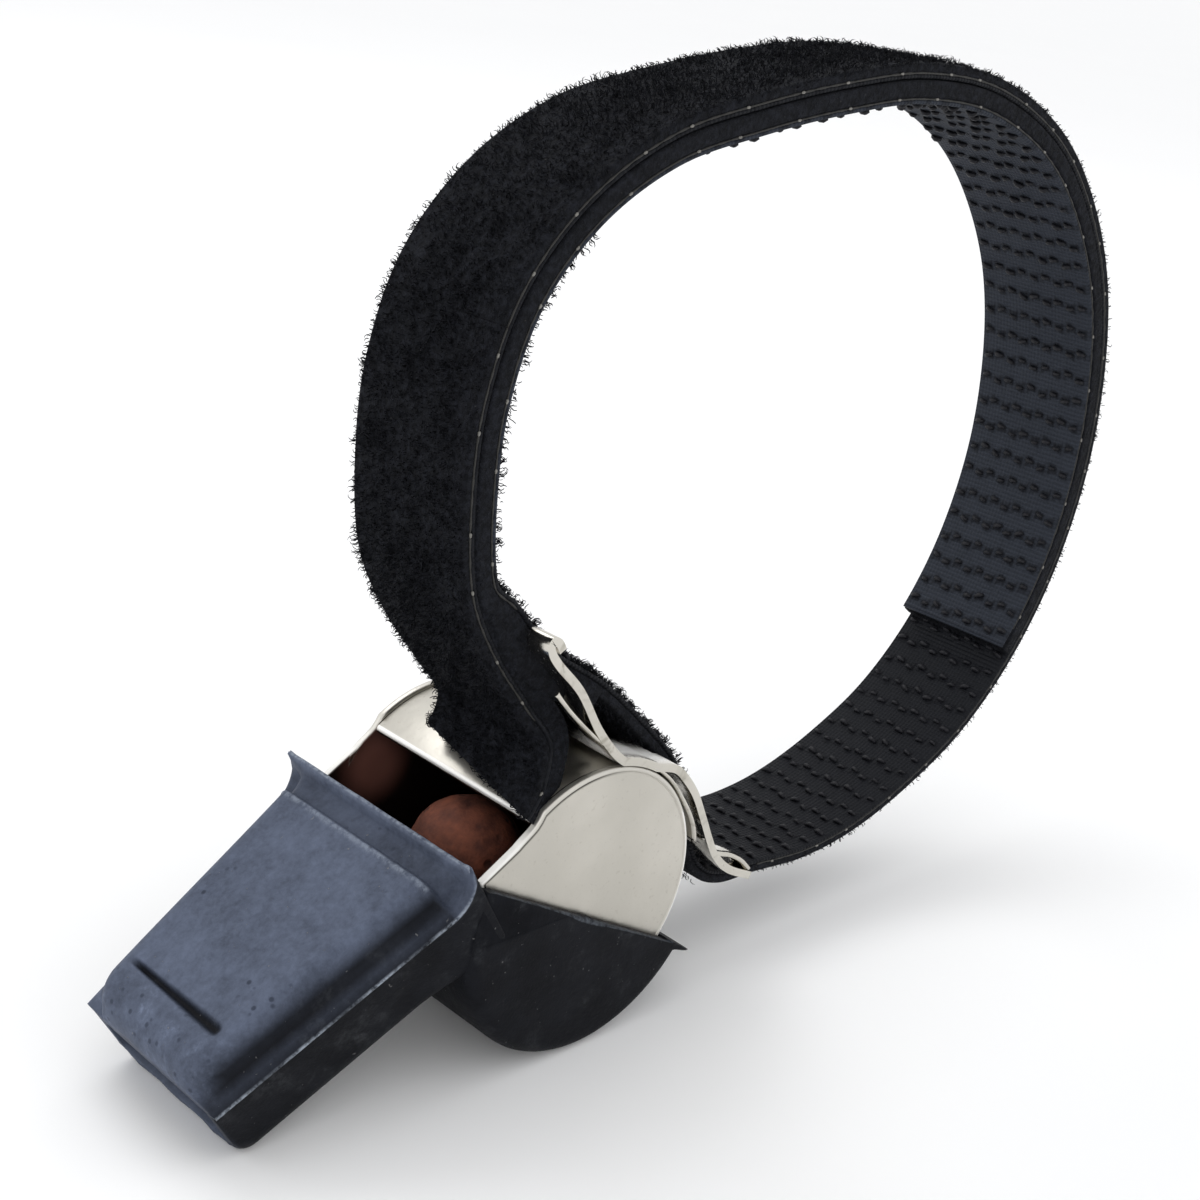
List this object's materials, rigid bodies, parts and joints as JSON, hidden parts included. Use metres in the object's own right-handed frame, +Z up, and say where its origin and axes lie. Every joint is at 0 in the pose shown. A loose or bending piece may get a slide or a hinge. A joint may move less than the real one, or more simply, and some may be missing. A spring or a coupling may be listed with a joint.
{
  "type": "pea whistle with wrist strap",
  "caption": "Sheet metal pea whistle with a rubber mouth and barrel cover, a cork pea, a back clip and a hook-and-loop wrist strap loop.",
  "frame": {"origin": "on the floor under the middle of the whole object, which stands on the rubber cup and the tip of the mouthpiece cover with the strap loop upright behind", "axes": "+X towards the mouthpiece, +Y along the barrel axis out of the near side plate, +Z up"},
  "size_m": [0.1068, 0.0238, 0.0823],
  "materials": {
    "nickel_plate": "satin nickel plate on pressed sheet",
    "solder": "dull solder fillet",
    "cork": "matt granular cork",
    "black_rubber": "matt moulded rubber with chalky handling marks",
    "loop_pile": "brushed loop pile",
    "hook_weave": "flat woven tape with rows of hooks",
    "edge_thread": "edge stitching thread"
  },
  "bodies": {
    "whistle": {"near_side_plate": "nickel_plate", "far_side_plate": "nickel_plate", "barrel_band": "nickel_plate", "mouthpiece_roof": "nickel_plate", "windway_plate": "nickel_plate", "strap_clip": "nickel_plate", "clip_solder": "solder", "rubber_cover": "black_rubber"},
    "pea": {"cork_pea": "cork"},
    "strap": {"loop_tape": "loop_pile", "hook_tape": "hook_weave", "edge_stitching": "edge_thread"},
    "tab": {"tab_loop_tape": "loop_pile", "tab_hook_tape": "hook_weave", "tab_stitching": "edge_thread"}
  },
  "joints": [
    {"name": "pea_orbit", "type": "hinge", "parent": "whistle", "child": "pea", "pos_m": [0.0185, 0.0007, 0.014], "axis": [0, 1, 0], "continuous": true},
    {"name": "strap_swing", "type": "hinge", "parent": "whistle", "child": "strap", "pos_m": [0.00445, 0.001, 0.01764], "axis": [0, 1, 0], "range_deg": [-12, 0]},
    {"name": "tab_lift", "type": "hinge", "parent": "strap", "child": "tab", "pos_m": [0.03318, 0.001, 0.04569], "axis": [0, 1, 0], "range_deg": [-70, 0]}
  ]
}
